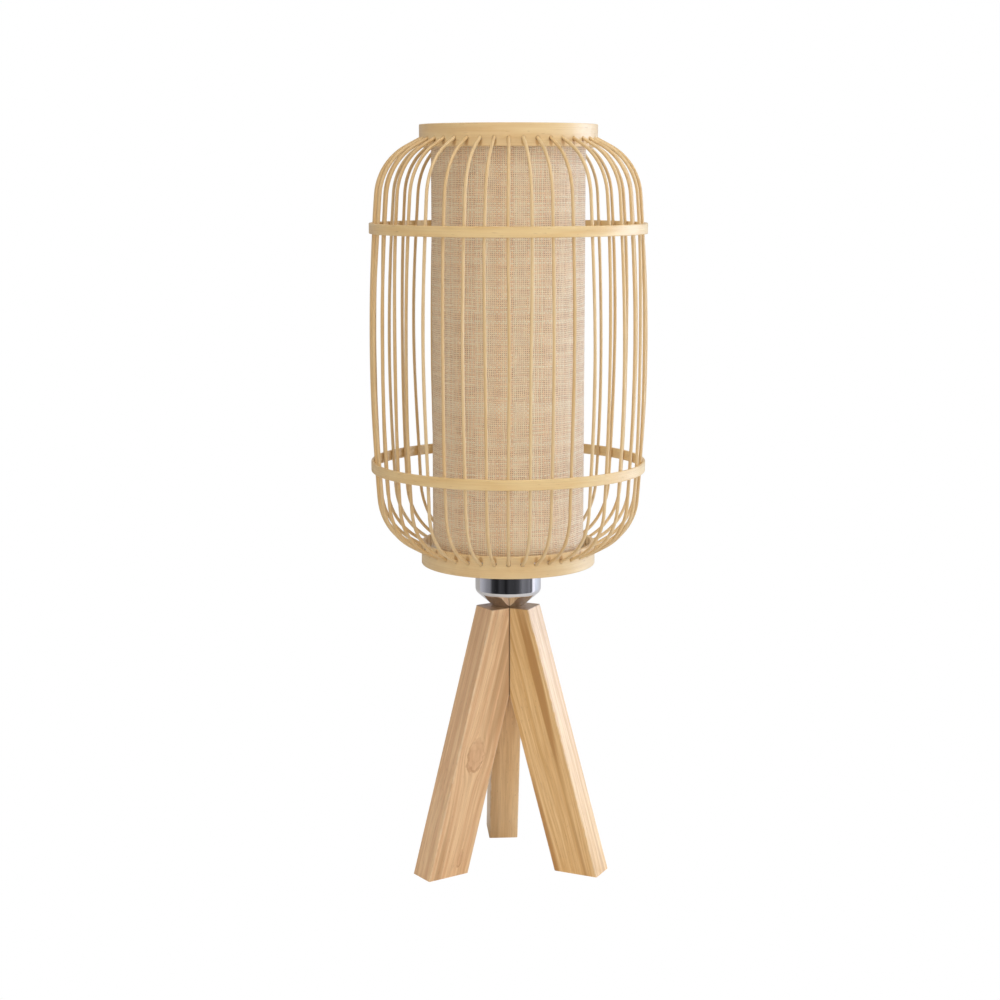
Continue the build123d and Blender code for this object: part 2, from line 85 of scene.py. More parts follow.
SHADE_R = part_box("shade_fabric")[1].x
SHADE_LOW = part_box("shade_fabric")[0].z
SHADE_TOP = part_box("shade_fabric")[1].z
CLOTH = 0.8 * MM
WIRE_R = 1.25 * MM
WIRE_GAP = 0.05 * MM
HEM_DEPTH = 12.0 * MM
HEM_TURN = 4.0 * MM
LINER = 0.5 * MM
SEAM_HALF = 6.0 * MM
SEAM_CLOTH = 0.5 * MM

LEG_LEAN = radians(16.0)
LEG_ANGLES = {"leg_back": 94.3, "leg_left": 214.3, "leg_right": 334.3}
LEG_WIDTH = 22.0 * MM
LEG_DEPTH = 32.8 * MM
LEG_TOP_R = 21.2 * MM
MITRE_ANGLE = 60.0
SEAM_CLEAR, SEAM_DARK = 0.75 * MM, 0.25 * MM
STAND_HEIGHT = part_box("leg_left")[1].z


# ---- Modelling helpers --------------------------------------------------------------
def clear_selection():
    bpy.ops.object.select_all(action="DESELECT")


def settle(name):
    """Name the piece just added, put its place into its mesh and leave it in object mode."""
    piece = bpy.context.object
    bpy.ops.object.transform_apply(location=True, rotation=True, scale=True)
    piece.name = piece.data.name = name
    return piece


def choose(piece, wanted):
    """Enter edit mode with only the points for which wanted(place) holds selected."""
    bpy.ops.object.mode_set(mode="OBJECT")
    for part in (piece.data.polygons, piece.data.edges):
        for item in part:
            item.select = False
    for point in piece.data.vertices:
        point.select = bool(wanted(point.co))
    bpy.ops.object.mode_set(mode="EDIT")
    bpy.ops.mesh.select_mode(type="VERT")


def copy_of(piece, name):
    """A copy with a mesh of its own."""
    twin = piece.copy()
    twin.data = piece.data.copy()
    twin.name = twin.data.name = name
    bpy.context.scene.collection.objects.link(twin)
    return twin


def apply_modifier(piece, kind, **settings):
    """Add a modifier, set it and apply it."""
    clear_selection()
    piece.select_set(True)
    bpy.context.view_layer.objects.active = piece
    modifier = piece.modifiers.new(kind.title(), kind)
    for setting, value in settings.items():
        setattr(modifier, setting, value)
    bpy.ops.object.modifier_apply(modifier=modifier.name)


def smooth(piece, angle=40):
    clear_selection()
    piece.select_set(True)
    bpy.context.view_layer.objects.active = piece
    bpy.ops.object.shade_smooth_by_angle(angle=radians(angle))


def face_outwards(piece):
    choose(piece, lambda place: True)
    bpy.ops.mesh.remove_doubles(threshold=0.00001)
    bpy.ops.mesh.normals_make_consistent(inside=False)
    bpy.ops.object.mode_set(mode="OBJECT")


# ---- Shader helpers -----------------------------------------------------------------
def feed(tree, socket, value):
    """Join a socket to another node's output, or give it a plain value."""
    if isinstance(value, bpy.types.NodeSocket):
        tree.links.new(value, socket)
    else:
        socket.default_value = value


def add(tree, kind, inputs=None, **settings):
    made = tree.nodes.new(kind)
    for label, value in settings.items():
        setattr(made, label, value)
    for label, value in (inputs or {}).items():
        feed(tree, made.inputs[label], value)
    return made


def calc(tree, operation, *values):
    made = add(tree, "ShaderNodeMath", operation=operation)
    for socket, value in zip(made.inputs, values):
        feed(tree, socket, value)
    return made.outputs[0]


def times(tree, first, second):
    return calc(tree, "MULTIPLY", first, second)


def plus(tree, first, second):
    return calc(tree, "ADD", first, second)


def minus(tree, first, second):
    return calc(tree, "SUBTRACT", first, second)


def remap(tree, value, low, high, new_low=0.0, new_high=1.0, soft=False):
    made = add(tree, "ShaderNodeMapRange", interpolation_type="SMOOTHSTEP" if soft else "LINEAR")
    for socket, number in zip(made.inputs, (value, low, high, new_low, new_high)):
        feed(tree, socket, number)
    return made.outputs[0]


def mix_colour(tree, share, first, second):
    made = add(tree, "ShaderNodeMix", data_type="RGBA", clamp_factor=True)
    for index, value in ((0, share), (6, first), (7, second)):
        feed(tree, made.inputs[index], value)
    return made.outputs[2]


def tint(tree, colour, mask, amount, towards):
    """Take a colour some way towards another where the mask is high."""
    return mix_colour(tree, times(tree, mask, amount), colour, towards)


def triple(tree, x, y, z):
    return add(tree, "ShaderNodeCombineXYZ", {"X": x, "Y": y, "Z": z}).outputs[0]


def parts_of(tree, vector):
    made = add(tree, "ShaderNodeSeparateXYZ", {"Vector": vector})
    return made.outputs[0], made.outputs[1], made.outputs[2]


def cloudy(tree, vector, scale=1.0, detail=2.0, roughness=0.5):
    inputs = {"Vector": vector, "Scale": scale, "Detail": detail, "Roughness": roughness}
    return add(tree, "ShaderNodeTexNoise", inputs).outputs[0]


def number_of(tree, value):
    """A steady random number from 0 to 1 for each whole value."""
    return add(tree, "ShaderNodeTexWhiteNoise", {"W": value}, noise_dimensions="1D").outputs[0]


def rgb(red, green, blue):
    return (red, green, blue, 1.0)


def shader_group(name, inputs, outputs):
    """A node group with named inputs, {name: default}, and named number outputs."""
    group = bpy.data.node_groups.new(name, "ShaderNodeTree")
    for label, default in inputs.items():
        kind = "NodeSocketVector" if isinstance(default, tuple) else "NodeSocketFloat"
        socket = group.interface.new_socket(label, in_out="INPUT", socket_type=kind)
        socket.default_value = default
    for label in outputs:
        group.interface.new_socket(label, in_out="OUTPUT", socket_type="NodeSocketFloat")
    given = group.nodes.new("NodeGroupInput").outputs
    result = group.nodes.new("NodeGroupOutput").inputs
    return group, given, result


def place_group(tree, group, inputs):
    """Place a group in a material; its outputs are read by name."""
    made = tree.nodes.new("ShaderNodeGroup")
    made.node_tree = group
    for label, value in inputs.items():
        feed(tree, made.inputs[label], value)
    return made.outputs


# ---- Effects that several finishes share --------------------------------------------
def build_around_axis():
    """Unrolls a round piece: how far along its ring, how high, and how far out."""
    tree, given, result = shader_group(
        "around_axis", {"Position": (0.0, 0.0, 0.0), "Radius": 0.05}, ("Along", "Height", "Out")
    )
    x, y, z = parts_of(tree, given["Position"])
    angle = calc(tree, "ARCTAN2", x, times(tree, y, -1.0))
    feed(tree, result["Along"], times(tree, angle, given["Radius"]))
    feed(tree, result["Height"], z)
    squares = plus(tree, times(tree, x, x), times(tree, y, y))
    feed(tree, result["Out"], calc(tree, "SQRT", squares))
    return tree


def build_cane_fibre():
    """Split bamboo: fine fibres, slow patches and short brown flecks, all along its length."""
    tree, given, result = shader_group(
        "cane_fibre",
        {"Along": 0.0, "Across": 0.0, "Through": 0.0, "Fibre Width": 0.5 * MM, "Seed": 0.0},
        ("Fibre", "Patch", "Fleck"),
    )
    along = plus(tree, given["Along"], times(tree, given["Seed"], 7.3))
    thin = given["Fibre Width"]
    across = calc(tree, "DIVIDE", given["Across"], thin)
    through = calc(tree, "DIVIDE", given["Through"], thin)
    fibre = cloudy(tree, triple(tree, times(tree, along, 16.0), across, through), 1.0, 3.0, 0.6)
    feed(tree, result["Fibre"], remap(tree, fibre, 0.3, 0.7))
    slow = triple(
        tree,
        times(tree, along, 22.0),
        times(tree, given["Across"], 160.0),
        times(tree, given["Through"], 160.0),
    )
    feed(tree, result["Patch"], remap(tree, cloudy(tree, slow, 1.0, 2.0), 0.3, 0.7))
    short = triple(
        tree,
        times(tree, along, 130.0),
        times(tree, across, 0.8),
        times(tree, through, 0.8),
    )
    feed(tree, result["Fleck"], remap(tree, cloudy(tree, short, 1.0, 1.0), 0.70, 0.78, soft=True))
    return tree


def build_plain_weave():
    """Open plain weave: two sets of uneven threads that pass over and under, with holes."""
    tree, given, result = shader_group(
        "plain_weave",
        {"Across": 0.0, "Up": 0.0, "Pitch": 1.45 * MM, "Wander": 0.25, "Slub": 0.2},
        ("Height", "Hole", "Tone", "Weft"),
    )
    slow = triple(tree, times(tree, given["Across"], 60.0), times(tree, given["Up"], 60.0), 0.0)
    drift = add(tree, "ShaderNodeTexNoise", {"Vector": slow, "Scale": 1.0, "Detail": 1.0})
    drift_x, drift_y, _ = parts_of(tree, drift.outputs["Color"])

    def thread_place(distance, shift):
        """Which thread a point is on, and how far it is from that thread's middle."""
        shift = times(tree, minus(tree, shift, 0.5), times(tree, given["Wander"], 6.0))
        place = plus(tree, calc(tree, "DIVIDE", distance, given["Pitch"]), shift)
        index = calc(tree, "FLOOR", place)
        offset = minus(tree, minus(tree, place, index), 0.5)
        return index, offset, place

    warp, warp_off, warp_place = thread_place(given["Across"], drift_x)
    weft, weft_off, weft_place = thread_place(given["Up"], drift_y)
    parity = calc(tree, "FLOORED_MODULO", plus(tree, warp, weft), 2.0)
    over = minus(tree, 1.0, times(tree, parity, 2.0))

    def thread(index, offset, seed, run, crossing, lift):
        """A thread's cover and height here, thicker where it has a slub."""
        steady = number_of(tree, plus(tree, index, seed))
        lumps = cloudy(tree, triple(tree, times(tree, run, 0.16), times(tree, index, 5.7), seed), 1.0, 1.0)
        slub = times(tree, remap(tree, lumps, 0.45, 0.75), given["Slub"])
        half = plus(tree, plus(tree, 0.27, times(tree, steady, 0.12)), slub)
        away = calc(tree, "ABSOLUTE", offset)
        cover = remap(tree, minus(tree, away, half), 0.06, -0.04, soft=True)
        share = calc(tree, "DIVIDE", away, half)
        dome = calc(tree, "SQRT", calc(tree, "MAXIMUM", minus(tree, 1.0, times(tree, share, share)), 0.0))
        wave = times(tree, calc(tree, "COSINE", times(tree, crossing, pi)), lift)
        height = plus(tree, times(tree, dome, 0.5), times(tree, wave, 0.3))
        height = times(tree, plus(tree, height, 0.6), cover)
        return cover, height, steady

    warp_cover, warp_height, warp_tone = thread(warp, warp_off, 3.0, weft_place, weft_off, over)
    under = times(tree, over, -1.0)
    weft_cover, weft_height, weft_tone = thread(weft, weft_off, 71.0, warp_place, warp_off, under)
    top = calc(tree, "GREATER_THAN", weft_height, warp_height)
    feed(tree, result["Height"], calc(tree, "MAXIMUM", warp_height, weft_height))
    bare = times(tree, minus(tree, 1.0, warp_cover), minus(tree, 1.0, weft_cover))
    feed(tree, result["Hole"], bare)
    tone = add(tree, "ShaderNodeMix", {0: top, 2: warp_tone, 3: weft_tone}, data_type="FLOAT")
    feed(tree, result["Tone"], tone.outputs[0])
    feed(tree, result["Weft"], top)
    return tree


def build_wood_grain():
    """Sawn hardwood: bands, fine fibres and short pores along Z, bent round one knot."""
    tree, given, result = shader_group(
        "wood_grain",
        {
            "Position": (0.0, 0.0, 0.0),
            "Knot Place": (0.0, 0.0, 9.0),
            "Knot Width": 0.006,
            "Knot Length": 0.012,
            "Seed": 0.0,
        },
        ("Band", "Fibre", "Pore", "Knot", "Knot Ring"),
    )
    x, y, z = parts_of(tree, given["Position"])
    knot_x, knot_y, knot_z = parts_of(tree, given["Knot Place"])
    off_x = minus(tree, x, knot_x)
    off_z = minus(tree, z, knot_z)
    off_y = minus(tree, y, knot_y)
    share_x = calc(tree, "DIVIDE", off_x, given["Knot Width"])
    share_z = calc(tree, "DIVIDE", off_z, given["Knot Length"])
    depth = calc(tree, "DIVIDE", off_y, times(tree, given["Knot Width"], 1.2))
    flat = plus(tree, times(tree, share_x, share_x), times(tree, share_z, share_z))
    spread = calc(tree, "SQRT", plus(tree, flat, times(tree, depth, depth)))
    push = calc(tree, "DIVIDE", 1.0, calc(tree, "MAXIMUM", times(tree, spread, spread), 1.0))
    bent_x = minus(tree, x, times(tree, times(tree, off_x, push), 0.8))
    seeded_x = plus(tree, times(tree, x, 30.0), given["Seed"])
    lazy = cloudy(tree, triple(tree, seeded_x, times(tree, y, 30.0), times(tree, z, 7.0)), 1.0, 1.0)
    sway = times(tree, minus(tree, lazy, 0.5), 0.010)
    across = plus(tree, bent_x, sway)
    deep = plus(tree, y, times(tree, sway, 0.6))
    seed = times(tree, given["Seed"], 3.1)

    def along_grain(fine, length, detail, shift):
        """Noise drawn out along Z: fine is its scale across the grain, and length along it."""
        grain_x = plus(tree, times(tree, across, fine), seed)
        grain_y = plus(tree, times(tree, deep, fine * 0.7), shift)
        return cloudy(tree, triple(tree, grain_x, grain_y, times(tree, z, length)), 1.0, detail, 0.55)

    feed(tree, result["Band"], remap(tree, along_grain(360.0, 5.0, 3.0, 0.0), 0.37, 0.63))
    feed(tree, result["Fibre"], remap(tree, along_grain(1250.0, 38.0, 3.0, 5.0), 0.34, 0.66))
    feed(tree, result["Pore"], remap(tree, along_grain(2100.0, 230.0, 1.0, 9.0), 0.66, 0.80, soft=True))
    feed(tree, result["Knot"], remap(tree, spread, 1.05, 0.75, soft=True))
    ragged = cloudy(tree, triple(tree, times(tree, x, 260.0), y, times(tree, z, 200.0)), 1.0, 2.0)
    round_knot = plus(tree, spread, times(tree, minus(tree, ragged, 0.5), 0.9))
    outline = remap(tree, calc(tree, "ABSOLUTE", minus(tree, round_knot, 0.95)), 0.20, 0.02, soft=True)
    inner = remap(tree, calc(tree, "ABSOLUTE", minus(tree, round_knot, 0.45)), 0.16, 0.02, soft=True)
    low_side = remap(tree, share_z, 0.9, -0.9, 0.35, 1.0)
    ring = plus(tree, times(tree, outline, low_side), times(tree, inner, 0.25))
    feed(tree, result["Knot Ring"], ring)
    return tree


def build_edge_rub():
    """Where a leg's long edges are rubbed, from its own section coordinates."""
    tree, given, result = shader_group(
        "edge_rub",
        {"Position": (0.0, 0.0, 0.0), "Half Depth": 0.015, "Half Width": 0.01, "Reach": 1.6 * MM},
        ("Rub",),
    )
    x, y, _ = parts_of(tree, given["Position"])
    in_x = minus(tree, given["Half Depth"], calc(tree, "ABSOLUTE", x))
    in_y = minus(tree, given["Half Width"], calc(tree, "ABSOLUTE", y))
    near = calc(tree, "MAXIMUM", in_x, in_y)
    rub = remap(tree, near, given["Reach"], 0.2 * MM, soft=True)
    uneven = cloudy(tree, given["Position"], 160.0, 2.0)
    feed(tree, result["Rub"], times(tree, rub, remap(tree, uneven, 0.3, 0.6)))
    return tree


def build_fine_speckle():
    """A faint speckle and a slow cloud, for moulded, painted and plated finishes."""
    tree, given, result = shader_group(
        "fine_speckle", {"Position": (0.0, 0.0, 0.0), "Grain": 0.6 * MM, "Seed": 0.0}, ("Speckle", "Cloud")
    )
    shift = triple(tree, given["Seed"], 0.0, 0.0)
    place = add(tree, "ShaderNodeVectorMath", {0: given["Position"], 1: shift}, operation="ADD").outputs[0]
    feed(tree, result["Speckle"], cloudy(tree, place, calc(tree, "DIVIDE", 1.0, given["Grain"]), 2.0))
    feed(tree, result["Cloud"], remap(tree, cloudy(tree, place, 55.0, 2.0), 0.3, 0.7))
    return tree


around_axis = build_around_axis()
cane_fibre = build_cane_fibre()
plain_weave = build_plain_weave()
wood_grain = build_wood_grain()
edge_rub = build_edge_rub()
fine_speckle = build_fine_speckle()


# ---- Finishes -----------------------------------------------------------------------
def finish(name, **constants):
    """A new material, its tree and its Principled shader, with the shader's own sockets set."""
    material = bpy.data.materials.new(name)
    material.use_nodes = True
    tree = material.node_tree
    shader = tree.nodes["Principled BSDF"]
    for label, value in constants.items():
        shader.inputs[label.replace("_", " ")].default_value = value
    return material, tree, shader


def place_in(tree):
    return add(tree, "ShaderNodeTexCoord").outputs["Object"]


def emboss(tree, shader, height, distance):
    bump = add(tree, "ShaderNodeBump", {"Height": height, "Distance": distance, "Strength": 1.0})
    feed(tree, shader.inputs["Normal"], bump.outputs[0])


def band_bamboo(name, radius, seed, pale, deep, side=0):
    """Split bamboo bent into a ring.

    A rim gets a painted shadow beside each drilled hole, where its rib's shadow falls towards the
    cage's middle: side is 1 for the cage's top rim and -1 for its bottom rim, and a hoop has none.
    """
    material, tree, shader = finish(name, Specular_IOR_Level=0.5, Coat_Weight=0.5, Coat_Roughness=0.36)
    round_it = place_group(tree, around_axis, {"Position": place_in(tree), "Radius": radius})
    strip = {"Along": round_it["Along"], "Across": round_it["Height"], "Through": round_it["Out"]}
    cane = place_group(tree, cane_fibre, {**strip, "Fibre Width": 0.55 * MM, "Seed": seed})
    colour = mix_colour(tree, cane["Patch"], pale, deep)
    colour = tint(tree, colour, cane["Fibre"], 0.30, rgb(0.60, 0.39, 0.17))
    colour = tint(tree, colour, cane["Fleck"], 0.45, rgb(0.42, 0.24, 0.09))
    if side:
        # Painted shadow: a dark mark on the rim beside each rib hole, shifted towards the cage's middle,
        # where the rib's shadow falls.
        hole_shadow_height = CAGE_MID + side * ((CAGE_HEIGHT - RIM_HEIGHT) / 2 + RIB_ENTRY - HOLE_SHADOW_DRIFT)
        pitch = radius * radians(180.0 / PAIR_COUNT)
        place = calc(tree, "DIVIDE", round_it["Along"], pitch)
        off = times(tree, minus(tree, place, calc(tree, "ROUND", place)), pitch / HOLE_SHADOW_WIDTH)
        rise = calc(tree, "DIVIDE", minus(tree, round_it["Height"], hole_shadow_height), HOLE_SHADOW_LENGTH)
        spread = plus(tree, times(tree, off, off), times(tree, rise, rise))
        painted_hole_shadow = remap(tree, plus(tree, spread, times(tree, cane["Patch"], 0.3)), 1.2, 0.2, soft=True)
        colour = tint(tree, colour, painted_hole_shadow, 0.7, rgb(0.48, 0.25, 0.07))
    feed(tree, shader.inputs["Base Color"], colour)
    feed(tree, shader.inputs["Roughness"], remap(tree, cane["Fibre"], 0.0, 1.0, 0.38, 0.56))
    emboss(tree, shader, cane["Fibre"], 0.12 * MM)
    return material


def rib_bamboo():
    """Round drawn bamboo, a little different from rib to rib."""
    material, tree, shader = finish(
        "rib_bamboo", Specular_IOR_Level=0.45, Coat_Weight=0.2, Coat_Roughness=0.3
    )
    tone = add(tree, "ShaderNodeAttribute", attribute_name="tone").outputs["Fac"]
    x, y, z = parts_of(tree, place_in(tree))
    cane = place_group(
        tree,
        cane_fibre,
        {"Along": z, "Across": x, "Through": y, "Fibre Width": 0.5 * MM, "Seed": times(tree, tone, 9.0)},
    )
    colour = mix_colour(tree, tone, rgb(0.86, 0.66, 0.38), rgb(0.74, 0.50, 0.23))
    colour = tint(tree, colour, cane["Patch"], 0.4, rgb(0.90, 0.74, 0.48))
    colour = tint(tree, colour, cane["Fibre"], 0.3, rgb(0.55, 0.33, 0.13))
    colour = tint(tree, colour, cane["Fleck"], 0.4, rgb(0.38, 0.21, 0.08))
    feed(tree, shader.inputs["Base Color"], colour)
    feed(tree, shader.inputs["Roughness"], remap(tree, cane["Fibre"], 0.0, 1.0, 0.34, 0.52))
    emboss(tree, shader, cane["Fibre"], 0.1 * MM)
    return material


def woven_linen():
    """Natural linen in an open plain weave, on the shade."""
    material, tree, shader = finish(
        "linen", Sheen_Weight=0.25, Sheen_Roughness=0.5, Specular_IOR_Level=0.15, Roughness=0.9
    )
    round_it = place_group(tree, around_axis, {"Position": place_in(tree), "Radius": SHADE_R})
    weave = place_group(tree, plain_weave, {"Across": round_it["Along"], "Up": round_it["Height"]})
    thread = mix_colour(tree, weave["Tone"], rgb(1.0, 0.73, 0.48), rgb(1.0, 0.90, 0.70))
    thread = tint(tree, thread, weave["Weft"], 0.35, rgb(1.0, 0.87, 0.70))
    place = triple(tree, round_it["Along"], round_it["Height"], 0.0)
    fuzz = remap(tree, cloudy(tree, place, 900.0, 3.0, 0.7), 0.3, 0.7)
    thread = tint(tree, thread, fuzz, 0.2, rgb(0.62, 0.43, 0.27))
    # Painted shade in the weave: each thread is darker where it lies low, at its edges and where it passes
    # under the crossing thread, and the holes between threads are painted dark as shade seen through them.
    shade = remap(tree, weave["Height"], 0.2, 1.1, soft=True)
    colour = mix_colour(tree, shade, rgb(0.58, 0.31, 0.18), thread)
    colour = tint(tree, colour, weave["Hole"], 0.8, rgb(0.38, 0.19, 0.14))
    feed(tree, shader.inputs["Base Color"], colour)
    feed(tree, shader.inputs["Roughness"], remap(tree, weave["Height"], 0.0, 1.1, 0.98, 0.82))
    emboss(tree, shader, plus(tree, weave["Height"], times(tree, fuzz, 0.15)), 0.6 * MM)
    return material


def leg_axes(angle):
    """The middle of a leg's foot on the floor, and its axes: through, across and along it."""
    turn = radians(angle)
    outward = Vector((cos(turn), sin(turn), 0.0))
    up = Vector((0.0, 0.0, 1.0))
    through = cos(LEG_LEAN) * outward + sin(LEG_LEAN) * up
    across = Vector((-sin(turn), cos(turn), 0.0))
    along = cos(LEG_LEAN) * up - sin(LEG_LEAN) * outward
    foot_r = LEG_TOP_R + STAND_HEIGHT * tan(LEG_LEAN)
    return outward * foot_r - through * LEG_DEPTH / 2, through, across, along


def leg_wood(name, angle, seed, pale, mid, deep, streak, knots):
    """Oiled hardwood for one leg, its grain running up the leg, dark at its mitres and at its sawn top, as
    end grain and as painted shadow under the cup.

    Knots are (place, width, length) on the leg's own axes.
    """
    material, tree, shader = finish(name, Specular_IOR_Level=0.5, Coat_Weight=0.9, Coat_Roughness=0.36)
    centre, through, across, along = leg_axes(angle)
    turned = Matrix((through, across, along)).transposed().to_euler()
    in_lamp = place_in(tree)
    own_axes = {"Vector": in_lamp, "Location": centre, "Rotation": turned}
    own = add(tree, "ShaderNodeMapping", own_axes, vector_type="TEXTURE").outputs[0]

    def grain_round(knot, seed):
        place, width, length = knot
        about = {"Knot Place": place, "Knot Width": width, "Knot Length": length}
        return place_group(tree, wood_grain, {"Position": own, **about, "Seed": seed})

    grain = grain_round(knots[0], seed)
    colour = mix_colour(tree, grain["Band"], pale, mid)
    drawn_out = {"Vector": own, "Location": (seed, seed, 0.0), "Scale": (110.0, 60.0, 5.0)}
    broad = cloudy(tree, add(tree, "ShaderNodeMapping", drawn_out).outputs[0], 1.0, 1.0)
    colour = tint(tree, colour, remap(tree, broad, 0.52, 0.66, soft=True), streak, deep)
    colour = tint(tree, colour, grain["Fibre"], 0.38, deep)
    colour = tint(tree, colour, grain["Pore"], 0.40, rgb(0.34, 0.19, 0.09))
    height = minus(tree, times(tree, grain["Fibre"], 0.35), grain["Pore"])
    for index, knot in enumerate(knots):
        shown = grain_round(knot, seed + index) if index else grain
        colour = tint(tree, colour, shown["Knot"], 0.40, rgb(0.66, 0.36, 0.19))
        colour = tint(tree, colour, shown["Knot Ring"], 0.55, rgb(0.46, 0.20, 0.08))
    section = {"Position": own, "Half Depth": LEG_DEPTH / 2, "Half Width": LEG_WIDTH / 2}
    rub = place_group(tree, edge_rub, section)["Rub"]
    colour = tint(tree, colour, rub, 0.5, rgb(0.90, 0.74, 0.54))
    for side in (1, -1):
        turn = radians(angle + side * MITRE_ANGLE)
        across_seam = {0: in_lamp, 1: (-sin(turn), cos(turn), 0.0)}
        seam = add(tree, "ShaderNodeVectorMath", across_seam, operation="DOT_PRODUCT")
        off_seam = calc(tree, "ABSOLUTE", seam.outputs["Value"])
        near = remap(tree, off_seam, SEAM_CLEAR, SEAM_DARK, soft=True)
        colour = tint(tree, colour, near, 0.75, rgb(0.20, 0.12, 0.07))
    # The sawn top is darkened: partly end grain, darker in itself, and partly painted shadow under the chrome
    # cup.
    height_up = parts_of(tree, in_lamp)[2]
    end_grain_and_cup_shadow = remap(tree, height_up, STAND_HEIGHT - 0.5 * MM, STAND_HEIGHT - 0.2 * MM)
    colour = tint(tree, colour, end_grain_and_cup_shadow, 0.55, rgb(0.30, 0.17, 0.09))
    feed(tree, shader.inputs["Base Color"], colour)
    rough = remap(tree, grain["Fibre"], 0.0, 1.0, 0.42, 0.58)
    feed(tree, shader.inputs["Roughness"], minus(tree, rough, times(tree, rub, 0.08)))
    emboss(tree, shader, height, 0.18 * MM)
    return material


def plain_finish(name, colour, accent, grain, roughness, bump, metallic, seed):
    """A moulded, painted or metal finish: two close colours, a cloud and a fine speckle."""
    material, tree, shader = finish(name, Metallic=metallic)
    cover = place_group(tree, fine_speckle, {"Position": place_in(tree), "Grain": grain, "Seed": seed})
    feed(tree, shader.inputs["Base Color"], mix_colour(tree, cover["Cloud"], colour, accent))
    low, high = roughness
    feed(tree, shader.inputs["Roughness"], remap(tree, cover["Cloud"], 0.0, 1.0, low, high))
    emboss(tree, shader, cover["Speckle"], bump)
    return material


def clear_glass():
    material, tree, shader = finish(
        "bulb_glass", Transmission_Weight=1.0, IOR=1.45, Base_Color=rgb(0.97, 0.98, 0.97)
    )
    cover = place_group(tree, fine_speckle, {"Position": place_in(tree), "Grain": 0.02})
    feed(tree, shader.inputs["Roughness"], remap(tree, cover["Cloud"], 0.0, 1.0, 0.0, 0.02))
    emboss(tree, shader, cover["Speckle"], 0.04 * MM)
    return material


def dress(material, slot, *names):
    """Give CAD nodes this finish."""
    for name in names:
        piece = nodes[name]
        piece.data.materials.clear()
        piece.data.materials.append(material)


RING_SEED = 3.0
RIM_PALE, RIM_DEEP = rgb(0.92, 0.73, 0.43), rgb(0.83, 0.59, 0.30)
HOOP_PALE, HOOP_DEEP = rgb(0.94, 0.74, 0.41), rgb(0.85, 0.60, 0.28)
dress(band_bamboo("top_rim_bamboo", RIM_R, 1.0, RIM_PALE, RIM_DEEP, 1), "rim_bamboo", "top_rim")
dress(band_bamboo("bottom_rim_bamboo", RIM_R, 2.0, RIM_PALE, RIM_DEEP, -1), "rim_bamboo", "bottom_rim")
dress(band_bamboo("upper_hoop_bamboo", HOOP_R, 3.0, HOOP_PALE, HOOP_DEEP), "hoop_bamboo", "upper_hoop")
dress(band_bamboo("lower_hoop_bamboo", HOOP_R, 4.0, HOOP_PALE, HOOP_DEEP), "hoop_bamboo", "lower_hoop")

NO_KNOT = [((0.0, 0.0, 9.0), 0.006, 0.012)]  # far above the lamp
LEFT_KNOTS = [
    ((0.0011, LEG_WIDTH / 2, 0.0967), 0.0072, 0.0125),
    ((-0.0061, LEG_WIDTH / 2, 0.0193), 0.0018, 0.0065),
]
# Each leg's seed, pale, middle and deep colour, strength of its streaks, and knots.
LEG_LOOKS = {
    "left": (1.0, rgb(0.98, 0.70, 0.42), rgb(0.82, 0.51, 0.28), rgb(0.52, 0.30, 0.14), 0.65, LEFT_KNOTS),
    "right": (5.0, rgb(0.98, 0.70, 0.36), rgb(0.80, 0.50, 0.20), rgb(0.52, 0.26, 0.07), 0.9, NO_KNOT),
    "back": (9.0, rgb(1.0, 0.74, 0.42), rgb(0.88, 0.61, 0.31), rgb(0.58, 0.36, 0.16), 0.55, NO_KNOT),
}
for leg, looks in LEG_LOOKS.items():
    wood = leg_wood(f"{leg}_leg_wood", LEG_ANGLES[f"leg_{leg}"], *looks)
    dress(wood, "leg_wood", f"leg_{leg}")

